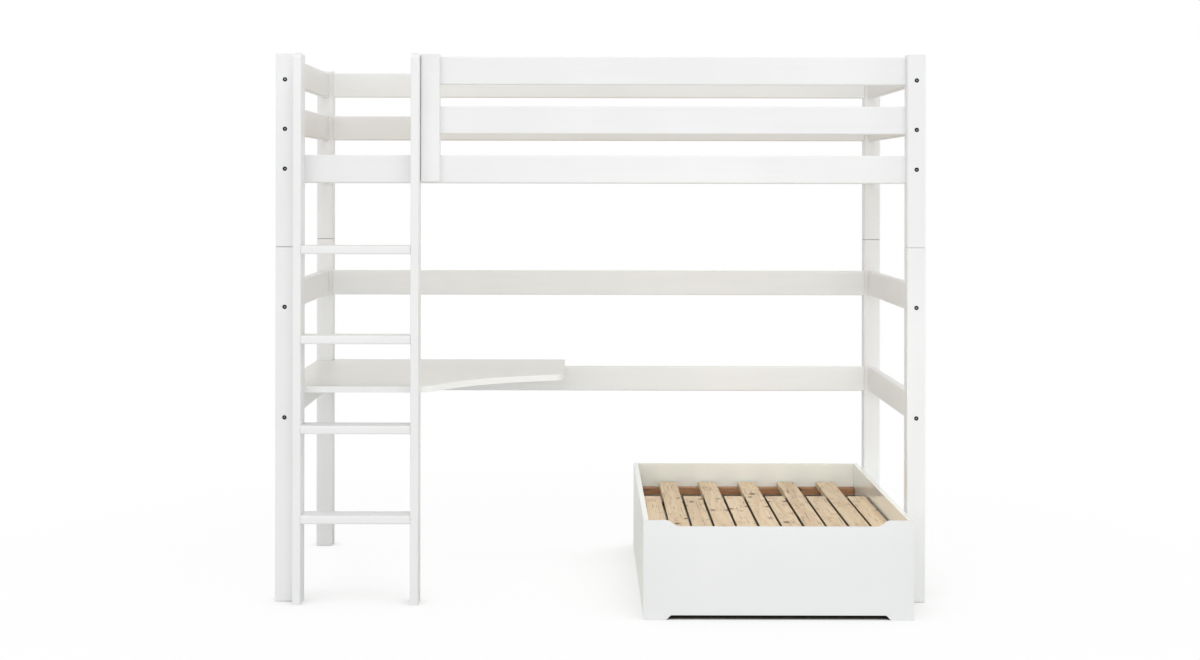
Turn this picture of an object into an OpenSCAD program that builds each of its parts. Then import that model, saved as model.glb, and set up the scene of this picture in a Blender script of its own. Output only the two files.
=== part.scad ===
// Cabin bed with ladder, corner desk and a low lounge that pulls out in two halves.
// X runs along the bed, Y from front to rear, Z up from the floor.

/* [Bed frame] */
// Length over the posts
bed_length = 2090; // [2050:5:2300]
// Depth over the posts
bed_depth = 1020; // [960:5:1200]
// Height of the posts
bed_height = 1760; // [1730:5:1900]
// Thickness of the posts, both ways
post_size = 60; // [56:1:68]
// Radius on the long edges of the posts
post_round = 4; // [1:0.5:6]
// Chamfer round both ends of every post
post_chamfer = 2; // [0.5:0.5:3]
// Height of the joint between the lower and upper half of each post
post_split = 1139; // [1110:1:1200]
// Diameter of the pin inside each post joint
post_pin_d = 14; // [10:1:18]
// Length of that pin
post_pin_length = 100; // [60:5:140]

/* [Rails] */
// Height of every rail
rail_height = 90; // [84:1:96]
// Thickness of every rail
rail_thick = 25; // [22:0.5:28]
// Radius on the long edges of the rails
rail_round = 5; // [1:0.5:7]
// Underside of the rails that carry the desk
desk_rail_z = 577; // [520:1:640]
// Underside of the brace rails
brace_rail_z = 932; // [880:1:960]
// Drop from the top of the posts to the underside of the rails that carry the mattress base
guard_drop = 415; // [400:1:440]
// How far the posts stand above the top rails
post_over_rail = 7; // [2:1:20]

/* [Guard post and ladder] */
// Opening between the left post and the guard post
entry_width = 406.5; // [380:0.5:500]
// How far the guard post ends above the underside of the bed rail
guard_post_lift = 3.5; // [1:0.5:10]
// Thickness of the ladder sides
ladder_board = 26; // [24:1:32]
// How far the ladder stands in front of the posts
ladder_reach = 60; // [45:1:80]
// Gap between the left ladder side and the corner post
ladder_left_gap = 4; // [1:0.5:8]
// Gap between the right ladder side and the guard post
ladder_right_gap = 1.5; // [1:0.5:8]
// Radius on the top corners of the ladder sides
ladder_top_round = 22; // [10:1:35]
// Radius across the tops of the ladder sides, seen from the front
ladder_crown_round = 7; // [1:0.5:10]
// Radius on the long edges of the ladder sides
ladder_edge_round = 4; // [1:0.5:6]
// Top of the lowest step
first_step_z = 285; // [250:1:300]
// Rise from one step to the next
step_rise = 286.5; // [260:0.5:290]
// Thickness of the steps
step_thick = 27; // [24:1:32]
// Radius on the long edges of the steps
step_round = 6; // [2:0.5:9]

/* [Mattress base] */
// Number of slats under the mattress
bed_slat_count = 14; // [10:1:16]
// Width of those slats
bed_slat_width = 70; // [60:1:80]
// Thickness of those slats
bed_slat_thick = 18; // [16:1:22]
// Height of the ledges that carry them
ledge_height = 30; // [26:1:34]
// Thickness of the ledges
ledge_thick = 22; // [20:1:25]

/* [Desk] */
// Length of the desk top
desk_length = 920; // [850:5:1000]
// Thickness of the desk top
desk_thick = 20; // [18:1:28]
// Straight run of its front edge, from the left end
desk_straight = 490; // [430:5:540]
// Depth left at its right-hand end
desk_end_depth = 580; // [540:5:650]
// Radius of the hollow sweep in its front edge
desk_sweep = 650; // [620:5:900]
// Radius on the corner where the sweep starts
desk_start_round = 80; // [40:5:110]
// Radius on the corner where the sweep ends
desk_end_round = 60; // [10:1:80]

/* [Lounge] */
// Length of the front panel
lounge_width = 834; // [760:2:860]
// Height of the lounge
lounge_height = 305.5; // [290:0.5:330]
// Thickness of its panels
lounge_board = 16; // [15:1:20]
// How far the closed lounge stands in front of the posts
lounge_reach = 257; // [200:1:300]
// How far its back stays inside the rear face of the posts
lounge_back = 35; // [20:1:60]
// Gap between the front panel and the right post
lounge_right_gap = 20; // [8:1:30]
// How far the side panels stand in from the ends of the front panel
lounge_side_inset = 1; // [0.5:0.5:8]
// Depth of the scoop in the top of the front panel
scoop_depth = 19; // [10:1:26]
// Length of each raised corner beside the scoop
scoop_corner = 71; // [60:1:90]
// Length of the curve down into the scoop
scoop_run = 40; // [25:1:60]
// Height of the cut-out under the front panel
toe_height = 14.5; // [8:0.5:20]
// Length of each foot beside the cut-out
toe_corner = 68; // [60:1:90]
// Length of the curve up into the cut-out
toe_run = 20; // [12:1:40]
// Number of lounge slats, odd so that both outer ones are short
lounge_slat_count = 11; // [7:2:11]
// Width of the lounge slats
lounge_slat_width = 64.5; // [56:0.5:66]
// Thickness of the lounge slats
lounge_slat_thick = 20; // [16:1:22]
// Top of the lounge slats
lounge_slat_z = 241; // [220:1:250]
// Distance from the inside of the rear panel to the short slats
short_slat_back = 344; // [300:1:400]
// Gap between the rear panel and the ends of the long slats
long_slat_back = 18; // [5:1:30]
// Depth of the bearers under the slats
bearer_depth = 40; // [32:1:44]
// Height of the bearers
bearer_height = 24; // [20:1:30]
// Height of the glides under the runners
glide_height = 5; // [3:0.5:8]
// Diameter of the glides
glide_d = 16; // [12:1:17]

/* [Hardware] */
// Diameter of the frame bolts
bolt_d = 6; // [5:0.5:7]
// Diameter of the bolt heads
bolt_head_d = 14; // [12:0.5:16]
// Height of the bolt heads
bolt_head_h = 4; // [3:0.5:5]
// Hexagon socket in the bolt heads, across its flats
bolt_socket = 5; // [4:0.5:6]
// Depth of the sockets
bolt_socket_depth = 2.5; // [2:0.5:2.5]
// Height of the end rail bolts above the underside of their rail
bolt_rise = 14; // [12:0.5:16]
// Distance of the barrel nuts from the end of their rail
nut_setback = 28; // [22:1:36]
// Diameter of the barrel nuts
nut_d = 10; // [9:0.5:12]
// Length of the barrel nuts
nut_length = 18; // [14:1:20]
// Diameter of the dowels
dowel_d = 8; // [6:1:9]
// Length of the dowels in the bed frame and ladder
dowel_length = 30; // [24:2:32]
// Length of the dowels in the lounge panels
panel_dowel_length = 24; // [20:1:26]
// Diameter of the wood screws
screw_d = 4; // [3:0.5:4.5]

/* [Fits] */
// Gap between pieces that are fastened together
seat = 0.2; // [0.1:0.05:0.3]
// Gap between pieces that slide past each other
slide_gap = 0.6; // [0.4:0.1:1.5]
// Gap between each runner and the side panel beside it
runner_gap = 2; // [1:0.5:4]
// Gap round the posts where the desk top is notched
notch_gap = 2; // [1:0.5:4]

/* [Hidden] */
$fn = 64;

// Sides, ends and levels
LEFT = -1;
RIGHT = 1;
FRONT = -1;
REAR = 1;
BED_LEVEL = 2;
LOWER_LEVELS = [0, 1];
UPPER_LEVELS = [2, 4];
STEPS = [1:4];

// Main planes, with the origin on the floor under the middle of everything
bed_rail_z = bed_height - guard_drop;
half_length = bed_length / 2;
rear_y = (bed_depth + lounge_reach) / 2;
front_y = rear_y - bed_depth;
inner_x = half_length - post_size;
inner_front = front_y + post_size;
inner_rear = rear_y - post_size;
guard_x0 = -inner_x + entry_width;
guard_pitch = (bed_height - post_over_rail - rail_height - bed_rail_z) / 2;
RAIL_Z = [desk_rail_z, brace_rail_z, bed_rail_z, bed_rail_z + guard_pitch, bed_rail_z + 2 * guard_pitch];

function post_x(side) = side * (half_length - post_size / 2);
function face_y(end) = end == FRONT ? front_y : rear_y;
function inner_y(end) = end == FRONT ? inner_front : inner_rear;
function rail_y(end) = inner_y(end) + end * rail_thick / 2;

// Heights of the bolts and dowels above the underside of their rail
dowel_edge = 20;
bed_dowel_edge = 14;
bed_bolt_rise = 28;
function end_bolt_rise(level) = level == BED_LEVEL ? rail_height / 2 : bolt_rise;
function long_bolt_rise(level) = level == BED_LEVEL ? bed_bolt_rise : rail_height / 2;
function end_dowel_rises(level) =
    level == BED_LEVEL ? [bed_dowel_edge, rail_height - bed_dowel_edge] : [rail_height - dowel_edge];
function long_dowel_rises(level) =
    level == BED_LEVEL ? [rail_height - bed_bolt_rise] : [dowel_edge, rail_height - dowel_edge];

// End rail joints as [side, end, level]
END_JOINTS = [for (side = [LEFT, RIGHT], end = [FRONT, REAR], level = [0:4]) [side, end, level]];
// Long rail joints as [outer face, side, end, level]
LONG_JOINTS = concat(
    [for (side = [LEFT, RIGHT], level = [0:4]) [side * half_length, side, REAR, level]],
    [for (side = [LEFT, RIGHT]) [side * half_length, side, FRONT, BED_LEVEL]],
    [for (face = [[guard_x0, LEFT], [half_length, RIGHT]], level = [3, 4]) [face[0], face[1], FRONT, level]]
);

// Bolt and hole sizes
head_recess = 0.5;
bolt_past_nut = 10;
bolt_reach = post_size + nut_setback + bolt_past_nut;
hole_slack = 0.5;
nut_thread_slack = 0.2;
cut = 1;

// Ladder places
ladder_front = front_y - ladder_reach;
ladder_back = inner_front - rail_thick - seat;
ladder_depth = ladder_back - ladder_front;
ladder_left_x = -inner_x + ladder_left_gap;
ladder_right_x = guard_x0 - ladder_right_gap - ladder_board;
ladder_clear = ladder_right_x - ladder_left_x - ladder_board;
step_dowel_inset = 25;

// Mattress base places
ledge_lift = 5;
ledge_end_gap = 25;
ledge_length = 2 * (inner_x - ledge_end_gap);
ledge_z = bed_rail_z + ledge_lift;
bed_slat_z = ledge_z + ledge_height + seat;
bed_slat_pitch = (ledge_length - bed_slat_width) / (bed_slat_count - 1);
bed_slat_end_gap = 1;
bed_slat_length = inner_rear - inner_front - 2 * bed_slat_end_gap;
LEDGE_SCREW_PARTS = [0.1, 0.3, 0.5, 0.7, 0.9];

// Screws: heads are countersunk, and each length runs from the face of the head
screw_head_d = 2 * screw_d;
screw_head_h = screw_d / 2;
screw_slack = 0.1;
screw_bite = 24;
frame_screw_length = rail_thick + screw_bite;
frame_screw_drop = 12;
frame_screw_gap = 27;
slat_screw_length = 34;

// Desk places
desk_x0 = -half_length;
desk_x1 = desk_x0 + desk_length;
desk_ladder_gap = 2;
desk_y0 = inner_front - rail_thick + desk_ladder_gap;
desk_z = desk_rail_z + rail_height + seat;
bracket_leg = 25;
bracket_thick = 2;
bracket_width = 40;
bracket_hole_at = 15;
bracket_hole_d = screw_d + 1;
desk_screw_length = 16;
pan_head_d = 7.5;
pan_head_h = 2.5;
LEFT_BRACKETS = [0.28, 0.72];
REAR_BRACKETS = [0.15, 0.52, 0.9];

// Lounge places
lounge_x = inner_x - lounge_right_gap - lounge_width / 2;
lounge_front = front_y - lounge_reach;
lounge_rear = rear_y - lounge_back;
base_half = lounge_width / 2 - lounge_side_inset;
base_inner = base_half - lounge_board;
panel_back = lounge_front + lounge_board;
panel_inner = lounge_rear - lounge_board;
runner_half = base_inner - runner_gap;
runner_inner = runner_half - lounge_board;
short_slat_end = panel_inner - short_slat_back;
long_slat_end = panel_inner - long_slat_back;
slat_under = lounge_slat_z - lounge_slat_thick;
bearer_top = slat_under - slide_gap - seat;
slat_side_gap = 5;
lounge_slat_pitch = (2 * base_inner - lounge_slat_width - 2 * slat_side_gap) / (lounge_slat_count - 1);
front_bearer_y = panel_back + seat;
cross_bearer_y = short_slat_end - bearer_depth;
rear_bearer_y = panel_inner - seat - bearer_depth;
slat_screw_spread = 18;
slat_screw_stagger = 6;
slat_round = 2;
front_screw_length = bearer_depth + lounge_board / 2;
end_screw_length = lounge_board + screw_bite;
glide_pin_d = 3;
glide_pin_length = 15;
glide_setback = 30;
curve_steps = 10;
FRONT_BEARER_SCREWS = [-0.8, -0.3, 0.3, 0.8];
REAR_DOWEL_HEIGHTS = [0.12, 0.45, 0.88];

// ---- Shared shapes ----

// Rectangle with rounded corners, centred
module round_rect(width, height, radius) {
    square([width - 2 * radius, height], center = true);
    square([width, height - 2 * radius], center = true);
    for (x = [-1, 1], y = [-1, 1])
        translate([x * (width / 2 - radius), y * (height / 2 - radius)]) circle(radius);
}

// Board with rounded long edges, from start along X, its section centred on the line
module bar_x(length, depth, height, radius)
    rotate([90, 0, 90]) linear_extrude(length) round_rect(depth, height, radius);

// The same along Y
module bar_y(length, width, height, radius)
    translate([0, length, 0]) rotate([90, 0, 0]) linear_extrude(length) round_rect(width, height, radius);

// Upright post round the Z axis, its ends chamfered on all four sides
module upright(z0, z1) {
    intersection() {
        translate([0, 0, z0]) linear_extrude(z1 - z0) round_rect(post_size, post_size, post_round);
        rotate([90, 0, 0]) translate([0, 0, -post_size / 2]) linear_extrude(post_size) chamfered(z0, z1);
        rotate([90, 0, 90]) translate([0, 0, -post_size / 2]) linear_extrude(post_size) chamfered(z0, z1);
    }
}

// Outline of a post seen square on, cut off at its four corners
module chamfered(z0, z1) {
    wide = post_size / 2;
    narrow = wide - post_chamfer;
    polygon([[-narrow, z0], [narrow, z0], [wide, z0 + post_chamfer], [wide, z1 - post_chamfer],
        [narrow, z1], [-narrow, z1], [-wide, z1 - post_chamfer], [-wide, z0 + post_chamfer]]);
}

module block(x0, x1, y0, y1, z0, z1)
    translate([x0, y0, z0]) cube([x1 - x0, y1 - y0, z1 - z0]);

// Turns +Z to point in from the front or rear face, or from a left or right face
module inward_y(end) rotate([end * 90, 0, 0]) children();
module inward_x(side) rotate([0, -side * 90, 0]) children();

// ---- Bolts, nuts, dowels and screws ----

module bolt() {
    difference() {
        translate([0, 0, head_recess]) {
            cylinder(h = bolt_head_h, d = bolt_head_d);
            cylinder(h = bolt_reach - head_recess, d = bolt_d);
        }
        translate([0, 0, head_recess - cut])
            cylinder(h = bolt_socket_depth + cut, d = bolt_socket / cos(30), $fn = 6);
    }
}

module bolt_hole() {
    translate([0, 0, -cut])
        cylinder(h = head_recess + bolt_head_h + seat + cut, d = bolt_head_d + hole_slack);
    translate([0, 0, -cut]) cylinder(h = bolt_reach + 2 * cut, d = bolt_d + hole_slack);
}

// Barrel nut across the bolt's line, its axis turned towards the open face of the rail
module nut_place(turn) translate([0, 0, post_size + nut_setback]) rotate(turn) children();

module barrel_nut(turn) {
    difference() {
        nut_place(turn) cylinder(h = nut_length, d = nut_d, center = true);
        translate([0, 0, post_size]) cylinder(h = bolt_reach, d = bolt_d + nut_thread_slack);
    }
}

module nut_hole(turn)
    nut_place(turn) translate([0, 0, -nut_length / 2 - seat])
        cylinder(h = nut_length + rail_thick, d = nut_d + hole_slack);

function end_nut_turn(side) = [0, side * 90, 0];
long_nut_turn = [-90, 0, 0];

module dowel(length) cylinder(h = length, d = dowel_d, center = true);
module dowel_hole(length) cylinder(h = length + 2 * cut, d = dowel_d + 2 * seat, center = true);

module screw(length) {
    cylinder(h = screw_head_h, d1 = screw_head_d, d2 = screw_d);
    cylinder(h = length, d = screw_d);
}

module screw_hole(length) {
    head_wide = screw_head_d + 2 * screw_slack;
    shank_wide = screw_d + 2 * screw_slack;
    cylinder(h = screw_head_h, d1 = head_wide, d2 = shank_wide);
    translate([0, 0, -cut]) cylinder(h = cut, d = head_wide);
    translate([0, 0, -cut]) cylinder(h = length + 2 * cut, d = shank_wide);
}

// ---- Where the frame's joints are ----

module at_end_bolt(joint)
    translate([post_x(joint[0]), face_y(joint[1]), RAIL_Z[joint[2]] + end_bolt_rise(joint[2])])
        inward_y(joint[1]) children();

module at_long_bolt(joint)
    translate([joint[0], rail_y(joint[2]), RAIL_Z[joint[3]] + long_bolt_rise(joint[3])])
        inward_x(joint[1]) children();

module at_end_dowels(joint)
    for (rise = end_dowel_rises(joint[2]))
        translate([post_x(joint[0]), inner_y(joint[1]), RAIL_Z[joint[2]] + rise])
            inward_y(joint[1]) children();

module at_long_dowels(joint)
    for (rise = long_dowel_rises(joint[3]))
        translate([joint[0] - joint[1] * post_size, rail_y(joint[2]), RAIL_Z[joint[3]] + rise])
            inward_x(joint[1]) children();

module end_joint_cuts(joint) {
    at_end_bolt(joint) bolt_hole();
    at_end_dowels(joint) dowel_hole(dowel_length);
}

module long_joint_cuts(joint) {
    at_long_bolt(joint) bolt_hole();
    at_long_dowels(joint) dowel_hole(dowel_length);
}

// Screws through the front bed rail into the ladder sides and the guard post
FRAME_SCREW_X = [
    ladder_left_x + ladder_board / 2,
    ladder_right_x + ladder_board / 2,
    guard_x0 + post_size / 2
];
module at_frame_screws()
    for (x = FRAME_SCREW_X, drop = [frame_screw_drop, frame_screw_drop + frame_screw_gap])
        translate([x, inner_front, bed_rail_z + rail_height - drop]) inward_y(REAR) children();

// Screws through a ledge into its bed rail, each in the middle of a gap between two slats
module at_ledge_screws(end)
    for (part = LEDGE_SCREW_PARTS)
        translate([ledge_screw_x(part), inner_y(end) - end * (ledge_thick + seat), ledge_z])
            translate([0, 0, ledge_height / 2]) inward_y(-end) children();

function bed_slat_x(index) = bed_slat_width / 2 - ledge_length / 2 + index * bed_slat_pitch;
function ledge_screw_x(part) = bed_slat_x(ceil(part * (bed_slat_count - 1)) - 0.5);

// Screws down through the ends of the bed slats into the ledges
module at_bed_slat_screws()
    for (index = [0:bed_slat_count - 1], end = [FRONT, REAR])
        translate([bed_slat_x(index), inner_y(end) - end * ledge_thick / 2, bed_slat_z + bed_slat_thick])
            rotate([180, 0, 0]) children();

module at_step_dowels(step)
    for (x = [ladder_left_x + ladder_board, ladder_right_x])
        for (y = [ladder_front + step_dowel_inset, ladder_back - step_dowel_inset])
            translate([x, y, step_top(step) - step_thick / 2]) rotate([0, 90, 0]) children();

function step_top(step) = first_step_z + (step - 1) * step_rise;

// ---- Posts ----

module post_half(side, end, z0, z1, levels) {
    color("white") difference() {
        translate([post_x(side), inner_y(end) + end * post_size / 2, 0]) upright(z0, z1);
        for (joint = END_JOINTS)
            if (joint[0] == side && joint[1] == end && joint[2] >= levels[0] && joint[2] <= levels[1])
                end_joint_cuts(joint);
        for (joint = LONG_JOINTS)
            if (joint[0] == side * half_length && joint[2] == end)
                if (joint[3] >= levels[0] && joint[3] <= levels[1]) long_joint_cuts(joint);
        at_post_pin(side, end)
            cylinder(h = post_pin_length + 2 * cut, d = post_pin_d + 2 * seat, center = true);
    }
}

module at_post_pin(side, end)
    translate([post_x(side), inner_y(end) + end * post_size / 2, post_split]) children();

module post_lower(side, end) post_half(side, end, 0, post_split - seat / 2, LOWER_LEVELS);
module post_upper(side, end) post_half(side, end, post_split + seat / 2, bed_height, UPPER_LEVELS);

module post_pins()
    color("silver") for (side = [LEFT, RIGHT], end = [FRONT, REAR])
        at_post_pin(side, end) cylinder(h = post_pin_length, d = post_pin_d, center = true);

// ---- Rails ----

module end_rail(side, level) {
    color("white") difference() {
        translate([post_x(side), inner_front + seat, RAIL_Z[level] + rail_height / 2])
            bar_y(inner_rear - inner_front - 2 * seat, rail_thick, rail_height, rail_round);
        for (end = [FRONT, REAR]) {
            end_joint_cuts([side, end, level]);
            at_end_bolt([side, end, level]) nut_hole(end_nut_turn(side));
        }
        if (level == 0 && side == LEFT) bracket_rail_screws() screw_pilot();
    }
}

module long_rail(end, level, x0) {
    color("white") difference() {
        translate([x0 + seat, rail_y(end), RAIL_Z[level] + rail_height / 2])
            bar_x(inner_x - x0 - 2 * seat, rail_thick, rail_height, rail_round);
        for (joint = LONG_JOINTS)
            if (joint[2] == end && joint[3] == level) {
                long_joint_cuts(joint);
                at_long_bolt(joint) nut_hole(long_nut_turn);
            }
        if (level == 0) bracket_rail_screws() screw_pilot();
        if (level == BED_LEVEL) at_ledge_screws(end) screw_hole(slat_screw_length);
        if (level == BED_LEVEL && end == FRONT) at_frame_screws() screw_hole(frame_screw_length);
    }
}

module guard_post() {
    z0 = bed_rail_z + guard_post_lift;
    lap_y = inner_front - rail_thick - seat;
    color("white") difference() {
        translate([guard_x0 + post_size / 2, front_y + post_size / 2, 0]) upright(z0, bed_height);
        block(guard_x0 - cut, guard_x0 + post_size + cut, lap_y, inner_front + cut,
            z0 - cut, bed_rail_z + rail_height + seat);
        for (joint = LONG_JOINTS)
            if (joint[0] == guard_x0) long_joint_cuts(joint);
        at_frame_screws() screw_hole(frame_screw_length);
    }
}

module frame_bolts() {
    color("dimgray") {
        for (joint = END_JOINTS) at_end_bolt(joint) bolt();
        for (joint = LONG_JOINTS) at_long_bolt(joint) bolt();
    }
}

module barrel_nuts() {
    color("silver") {
        for (joint = END_JOINTS) at_end_bolt(joint) barrel_nut(end_nut_turn(joint[0]));
        for (joint = LONG_JOINTS) at_long_bolt(joint) barrel_nut(long_nut_turn);
    }
}

module frame_dowels() {
    color("burlywood") {
        for (joint = END_JOINTS) at_end_dowels(joint) dowel(dowel_length);
        for (joint = LONG_JOINTS) at_long_dowels(joint) dowel(dowel_length);
        for (step = STEPS) at_step_dowels(step) dowel(dowel_length);
    }
}

module frame_screws() color("silver") at_frame_screws() screw(frame_screw_length);

// ---- Ladder ----

// Outline of a board that stands on the floor, rounded at both top corners
module crowned_outline(width, radius) {
    square([width, bed_height - radius]);
    translate([radius, 0]) square([width - 2 * radius, bed_height]);
    for (x = [radius, width - radius]) translate([x, bed_height - radius]) circle(radius);
}

module ladder_side(x0) {
    color("white") difference() {
        intersection() {
            translate([x0, ladder_front, 0]) rotate([90, 0, 90])
                linear_extrude(ladder_board) crowned_outline(ladder_depth, ladder_top_round);
            translate([x0, ladder_back, 0]) rotate([90, 0, 0])
                linear_extrude(ladder_depth) crowned_outline(ladder_board, ladder_crown_round);
            translate([x0 + ladder_board / 2, ladder_front + ladder_depth / 2, 0])
                linear_extrude(bed_height) round_rect(ladder_board, ladder_depth, ladder_edge_round);
        }
        for (step = STEPS) at_step_dowels(step) dowel_hole(dowel_length);
        at_frame_screws() screw_hole(frame_screw_length);
    }
}

module ladder_step(step) {
    color("white") difference() {
        translate([ladder_left_x + ladder_board + seat, ladder_front + ladder_depth / 2,
            step_top(step) - step_thick / 2])
            bar_x(ladder_clear - 2 * seat, ladder_depth, step_thick, step_round);
        at_step_dowels(step) dowel_hole(dowel_length);
    }
}

// ---- Mattress base ----

module slat_ledge(end) {
    color("burlywood") difference() {
        translate([0, inner_y(end) - end * (ledge_thick / 2 + seat), ledge_z + ledge_height / 2])
            cube([ledge_length, ledge_thick, ledge_height], center = true);
        at_ledge_screws(end) screw_hole(slat_screw_length);
        at_bed_slat_screws() screw_hole(slat_screw_length);
    }
}

module bed_slats() {
    color("burlywood") difference() {
        for (index = [0:bed_slat_count - 1])
            translate([bed_slat_x(index) - bed_slat_width / 2, inner_front + bed_slat_end_gap, bed_slat_z])
                cube([bed_slat_width, bed_slat_length, bed_slat_thick]);
        at_bed_slat_screws() screw_hole(slat_screw_length);
    }
}

module slat_base_screws() {
    color("silver") {
        for (end = [FRONT, REAR]) at_ledge_screws(end) screw(slat_screw_length);
        at_bed_slat_screws() screw(slat_screw_length);
    }
}

// ---- Desk ----

// Middle of the sweep circle, which passes through both ends of the swept edge
sweep_a = [desk_x0 + desk_straight, desk_y0];
sweep_b = [desk_x1, rear_y - desk_end_depth];
sweep_chord = sweep_b - sweep_a;
sweep_reach = sqrt(pow(desk_sweep, 2) - pow(norm(sweep_chord) / 2, 2));
sweep_centre = (sweep_a + sweep_b) / 2
    + sweep_reach * [sweep_chord[1], -sweep_chord[0]] / norm(sweep_chord);

// Middles of the two rounded corners that lead into the sweep
start_centre = [
    sweep_centre[0] - sqrt(pow(desk_sweep + desk_start_round, 2)
        - pow(desk_y0 + desk_start_round - sweep_centre[1], 2)),
    desk_y0 + desk_start_round
];
end_centre = [
    desk_x1 - desk_end_round,
    sweep_centre[1] + sqrt(pow(desk_sweep + desk_end_round, 2)
        - pow(desk_x1 - desk_end_round - sweep_centre[0], 2))
];

// Point where a corner circle touches the sweep
function sweep_touch(centre) =
    sweep_centre + desk_sweep * (centre - sweep_centre) / norm(centre - sweep_centre);

module desk_outline() {
    difference() {
        translate([desk_x0, desk_y0]) square([desk_length, rear_y - desk_y0]);
        translate(sweep_centre) circle(desk_sweep, $fn = 256);
        polygon([start_centre, [start_centre[0], desk_y0 - cut], [sweep_a[0] + cut, desk_y0 - cut],
            sweep_touch(start_centre)]);
        polygon([end_centre, sweep_touch(end_centre), [desk_x1 + cut, sweep_b[1] - cut],
            [desk_x1 + cut, end_centre[1]]]);
        for (end = [FRONT, REAR])
            translate([desk_x0 - cut, end == FRONT ? desk_y0 - cut : inner_rear - notch_gap])
                square([post_size + notch_gap + cut,
                    end == FRONT ? inner_front + notch_gap - desk_y0 + cut : post_size + notch_gap + cut]);
    }
    translate(start_centre) circle(desk_start_round);
    translate(end_centre) circle(desk_end_round);
}

module desk_top() {
    color("white") difference() {
        translate([0, 0, desk_z]) linear_extrude(desk_thick) desk_outline();
        bracket_desk_screws() screw_pilot();
    }
}

// Brackets stand in the corner between a rail's inner face and the underside of the desk
module at_brackets() {
    for (part = LEFT_BRACKETS)
        translate([post_x(LEFT) + rail_thick / 2 + seat, inner_front + part * (inner_rear - inner_front),
            desk_z - seat]) children();
    for (part = REAR_BRACKETS)
        translate([-inner_x + part * (desk_x1 + inner_x), inner_rear - seat, desk_z - seat])
            rotate([0, 0, -90]) children();
}

// Corner at the origin: one leg hangs down against the rail, the other lies under the desk
module bracket() {
    difference() {
        union() {
            block(0, bracket_thick, -bracket_width / 2, bracket_width / 2, -bracket_leg, 0);
            block(0, bracket_leg, -bracket_width / 2, bracket_width / 2, -bracket_thick, 0);
        }
        translate([bracket_hole_at, 0, -bracket_thick - cut])
            cylinder(h = bracket_thick + 2 * cut, d = bracket_hole_d);
        translate([-cut, 0, -bracket_hole_at]) rotate([0, 90, 0])
            cylinder(h = bracket_thick + 2 * cut, d = bracket_hole_d);
    }
}

// Lines of the screws, each starting on the bracket's free face
module bracket_desk_screws()
    at_brackets() translate([bracket_hole_at, 0, -bracket_thick - seat]) children();
module bracket_rail_screws()
    at_brackets() translate([bracket_thick + seat, 0, -bracket_hole_at]) rotate([0, -90, 0]) children();

module pan_screw() {
    translate([0, 0, -pan_head_h]) cylinder(h = pan_head_h, d = pan_head_d);
    cylinder(h = desk_screw_length, d = screw_d);
}
module screw_pilot() cylinder(h = desk_screw_length + cut, d = screw_d + 2 * screw_slack);

module desk_brackets() color("silver") at_brackets() bracket();
module desk_screws() {
    color("silver") {
        bracket_desk_screws() pan_screw();
        bracket_rail_screws() pan_screw();
    }
}

// ---- Lounge, rear half ----

function lounge_slat_x(index) =
    lounge_x + (index - (lounge_slat_count - 1) / 2) * lounge_slat_pitch;

module lounge_slat(index, y0, y1, z)
    translate([lounge_slat_x(index), y0, z + lounge_slat_thick / 2])
        bar_y(y1 - y0, lounge_slat_width, lounge_slat_thick, slat_round);

module at_panel_dowels()
    for (side = [LEFT, RIGHT])
        translate([lounge_x + side * base_inner, 0, 0]) {
            for (part = REAR_DOWEL_HEIGHTS)
                translate([0, lounge_rear - lounge_board / 2, part * lounge_height])
                    rotate([0, 90, 0]) children();
            translate([0, rear_bearer_y + bearer_depth / 2, slat_under - seat - bearer_height / 2])
                rotate([0, 90, 0]) children();
        }

module lounge_side(side) {
    x0 = side == LEFT ? lounge_x - base_half : lounge_x + base_inner;
    color("white") difference() {
        block(x0, x0 + lounge_board, panel_back + slide_gap, lounge_rear, 0, lounge_height);
        at_panel_dowels() dowel_hole(panel_dowel_length);
    }
}

module lounge_rear_panel() {
    color("white") difference() {
        block(lounge_x - base_inner + seat, lounge_x + base_inner - seat, panel_inner, lounge_rear,
            0, lounge_height);
        at_panel_dowels() dowel_hole(panel_dowel_length);
    }
}

module bearer(half, y0, z1)
    block(lounge_x - half + seat, lounge_x + half - seat, y0, y0 + bearer_depth, z1 - bearer_height, z1);

module at_long_slat_screws()
    for (index = [1:2:lounge_slat_count - 2], spread = [-1, 1])
        translate([lounge_slat_x(index) + spread * slat_screw_spread,
            rear_bearer_y + bearer_depth / 2 - spread * slat_screw_stagger,
            lounge_slat_z]) rotate([180, 0, 0]) children();

module lounge_rear_bearer() {
    color("burlywood") difference() {
        bearer(base_inner, rear_bearer_y, slat_under - seat);
        at_panel_dowels() dowel_hole(panel_dowel_length);
        at_long_slat_screws() screw_hole(slat_screw_length);
    }
}

module lounge_long_slats() {
    color("burlywood") difference() {
        for (index = [1:2:lounge_slat_count - 2])
            lounge_slat(index, panel_back + 2 * slide_gap, long_slat_end, slat_under);
        at_long_slat_screws() screw_hole(slat_screw_length);
    }
}

module lounge_base_dowels() color("burlywood") at_panel_dowels() dowel(panel_dowel_length);
module lounge_long_slat_screws() color("silver") at_long_slat_screws() screw(slat_screw_length);

// ---- Lounge, front half ----

// Eased curve from [0, 0] to [run, rise]
function ease(run, rise) =
    [for (step = [0:curve_steps]) [run * step / curve_steps, rise * (1 - cos(180 * step / curve_steps)) / 2]];

// Right-hand half of the front panel's outline, from the middle of its foot to the middle of its top
lounge_half = lounge_width / 2;
toe_start = lounge_half - toe_corner - toe_run;
FRONT_PANEL_HALF = concat(
    [for (p = ease(toe_run, -toe_height)) [toe_start + p[0], toe_height + p[1]]],
    [[lounge_half, 0], [lounge_half, lounge_height]],
    [for (p = ease(-scoop_run, -scoop_depth)) [lounge_half - scoop_corner + p[0], lounge_height + p[1]]]
);

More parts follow.
